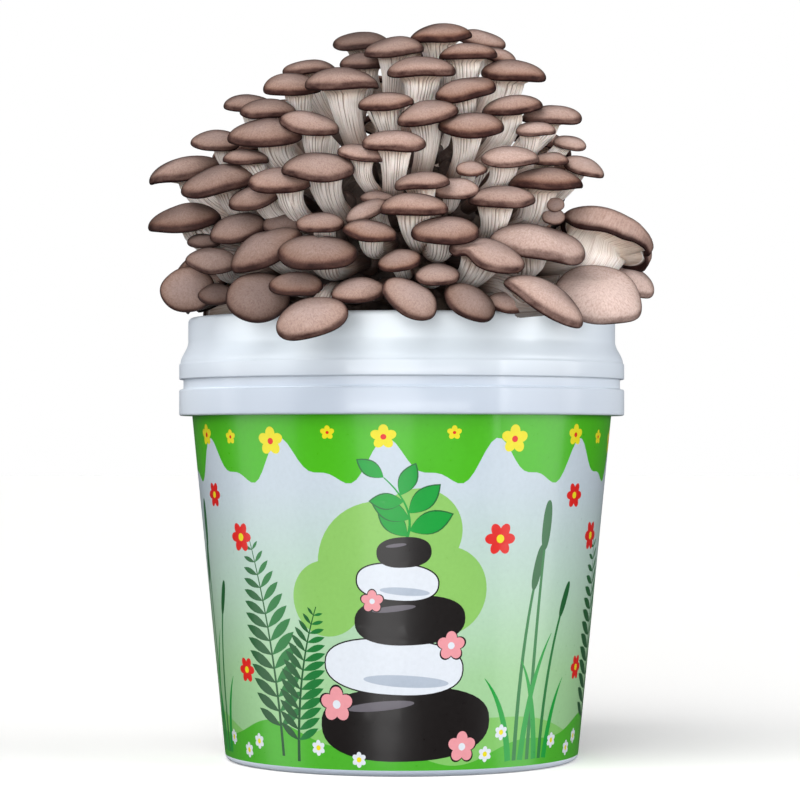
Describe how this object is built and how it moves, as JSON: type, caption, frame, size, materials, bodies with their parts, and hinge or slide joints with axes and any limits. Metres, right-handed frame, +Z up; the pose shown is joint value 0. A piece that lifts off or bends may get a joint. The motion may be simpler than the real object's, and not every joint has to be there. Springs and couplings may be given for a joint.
{
  "type": "oyster mushroom grow kit",
  "caption": "Oyster mushroom grow kit: a dense cluster of grey-brown mushrooms grows out of a white tapered plastic pail with an open collar lid and a nature print round its wall.",
  "frame": {"origin": "centre of the pail's flat underside", "axes": "+Z up along the pail's axis, -Y towards the front of the cluster and of the picture, +X to the right as seen from the front"},
  "size_m": [0.2472, 0.2661, 0.3666],
  "materials": {
    "white_plastic": "semi-gloss, with a printed nature picture round the pail's wall",
    "growing_medium": "rough and crumbly",
    "pale_flesh": "matt",
    "brown_flesh": "soft satin, with cream gills and stems"
  },
  "bodies": {
    "root": {"pail": "white_plastic", "collar_lid": "white_plastic", "growing_medium": "growing_medium", "cluster_base": "pale_flesh", "top_1": "brown_flesh", "top_2": "brown_flesh", "top_3": "brown_flesh", "top_4": "brown_flesh", "top_5": "brown_flesh", "top_6": "brown_flesh", "top_7": "brown_flesh", "left_1": "brown_flesh", "left_2": "brown_flesh", "left_3": "brown_flesh", "left_4": "brown_flesh", "left_5": "brown_flesh", "left_6": "brown_flesh", "left_7": "brown_flesh", "left_8": "brown_flesh", "left_9": "brown_flesh", "left_10": "brown_flesh", "left_11": "brown_flesh", "left_12": "brown_flesh", "low_1": "brown_flesh", "low_2": "brown_flesh", "low_3": "brown_flesh", "low_4": "brown_flesh", "low_5": "brown_flesh", "low_6": "brown_flesh", "middle_1": "brown_flesh", "middle_2": "brown_flesh", "middle_3": "brown_flesh", "middle_4": "brown_flesh", "right_1": "brown_flesh", "right_2": "brown_flesh", "right_3": "brown_flesh", "right_4": "brown_flesh", "right_5": "brown_flesh", "right_6": "brown_flesh", "right_7": "brown_flesh", "right_8": "brown_flesh", "side_1": "brown_flesh", "side_2": "brown_flesh", "side_3": "brown_flesh", "side_4": "brown_flesh", "side_5": "brown_flesh", "side_6": "brown_flesh", "back_1": "brown_flesh", "back_2": "brown_flesh", "back_3": "brown_flesh", "back_4": "brown_flesh", "back_5": "brown_flesh", "back_6": "brown_flesh", "back_7": "brown_flesh", "back_8": "brown_flesh", "back_9": "brown_flesh", "back_10": "brown_flesh", "back_11": "brown_flesh"}
  },
  "joints": []
}
